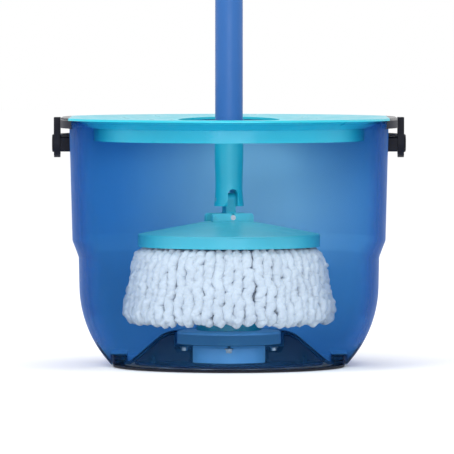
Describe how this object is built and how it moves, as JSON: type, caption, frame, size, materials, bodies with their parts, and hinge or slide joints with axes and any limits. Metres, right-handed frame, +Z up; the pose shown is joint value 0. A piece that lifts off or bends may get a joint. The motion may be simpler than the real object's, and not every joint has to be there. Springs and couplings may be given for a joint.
{
  "type": "spin mop with bucket",
  "caption": "Spin mop seated on the spinning drive of an oval bucket, with yarn head, two-way swivel joint, hand-press pole, splash guard and folding bail.",
  "frame": {"origin": "on the floor under the axis of the spinning drive", "axes": "+Z up along the drive axis and the pole, -Y towards the user, +Y towards the bucket's pouring end"},
  "size_m": [0.341, 0.3991, 1.084],
  "materials": {
    "bucket_plastic": "translucent blue polypropylene, smooth and glossy",
    "black_rubber": "black rubber, matt",
    "navy_plastic": "dark navy plastic, fine grain",
    "steel": "zinc plated steel",
    "polished_steel": "polished steel",
    "spring_steel": "dark spring steel",
    "turquoise_plastic": "turquoise moulded plastic, satin gloss",
    "black_plastic": "black moulded plastic",
    "grip_plastic": "soft-touch dark plastic",
    "light_blue_plastic": "light blue moulded plastic",
    "white_nylon": "white nylon",
    "mop_yarn": "white two-ply microfibre yarn",
    "blue_tube": "blue lacquered steel tube",
    "steel_tube": "satin stainless steel tube"
  },
  "bodies": {
    "bucket": {"bucket_shell": "bucket_plastic", "foot_ring": "black_rubber", "base_frame": "navy_plastic", "frame_screws": "steel", "splash_guard": "turquoise_plastic", "bail_lugs": "black_plastic", "bail_pins": "black_plastic", "drive_housing": "light_blue_plastic", "housing_gasket": "black_rubber", "flange_screws": "steel", "base_plate": "navy_plastic", "base_plate_screws": "steel", "bearing_outer_rings": "steel", "bearing_balls": "polished_steel", "shaft_seal": "black_rubber"},
    "bail": {"bail_handle": "black_plastic", "bail_grip": "grip_plastic"},
    "hub": {"drive_hub": "turquoise_plastic", "drive_shaft": "steel", "bearing_inner_rings": "steel", "bearing_spacer": "steel", "shaft_circlip": "spring_steel", "shoulder_pad": "black_rubber"},
    "mop_head": {"mop_plate": "turquoise_plastic", "hub_socket": "white_nylon", "socket_screws": "steel", "fringe_carrier": "white_nylon", "carrier_clips": "white_nylon", "mop_fringe": "mop_yarn", "lower_pin": "steel"},
    "knuckle": {"joint_knuckle": "turquoise_plastic"},
    "lower_pole": {"joint_tube": "turquoise_plastic", "upper_pin": "steel", "lower_tube": "blue_tube", "spring_button": "white_nylon", "rod_plug": "white_nylon", "bar_pin": "steel", "twisted_bar": "polished_steel"},
    "collar": {"guide_collar": "turquoise_plastic", "collar_seal": "black_rubber"},
    "lock": {"lock_ring": "navy_plastic"},
    "upper_pole": {"upper_tube": "steel_tube", "drive_nut": "white_nylon", "drive_pins": "steel", "hand_grip": "grip_plastic", "end_cap": "turquoise_plastic"}
  },
  "joints": [
    {"name": "bail_fold", "type": "hinge", "parent": "bucket", "child": "bail", "pos_m": [0, 0.0285, 0.2136], "axis": [1, 0, 0], "range_deg": [0, 90]},
    {"name": "hub_spin", "type": "hinge", "parent": "bucket", "child": "hub", "pos_m": [0, 0, 0.02], "axis": [0, 0, 1], "continuous": true},
    {"name": "mop_lift", "type": "slide", "parent": "hub", "child": "mop_head", "axis": [0, 0, 1], "range_m": [0, 0.22]},
    {"name": "head_tilt", "type": "hinge", "parent": "mop_head", "child": "knuckle", "pos_m": [0, 0, 0.143], "axis": [0.309, -0.9511, 0], "range_deg": [-12, 12]},
    {"name": "pole_tilt", "type": "hinge", "parent": "knuckle", "child": "lower_pole", "pos_m": [0, 0, 0.16], "axis": [0.9511, 0.309, 0], "range_deg": [-45, 45]},
    {"name": "collar_spin", "type": "hinge", "parent": "lower_pole", "child": "collar", "pos_m": [0, 0, 0.62], "axis": [0, 0, 1], "continuous": true},
    {"name": "lock_twist", "type": "hinge", "parent": "collar", "child": "lock", "pos_m": [0, 0, 0.65], "axis": [0, 0, 1], "range_deg": [0, 60]},
    {"name": "handle_press", "type": "slide", "parent": "collar", "child": "upper_pole", "axis": [0, 0, -1], "range_m": [0, 0.22]}
  ],
  "couplings": [
    {"joint": "hub_spin", "follows": "handle_press", "rad_per_m": 57.12},
    {"joint": "collar_spin", "follows": "handle_press", "rad_per_m": -57.12}
  ]
}
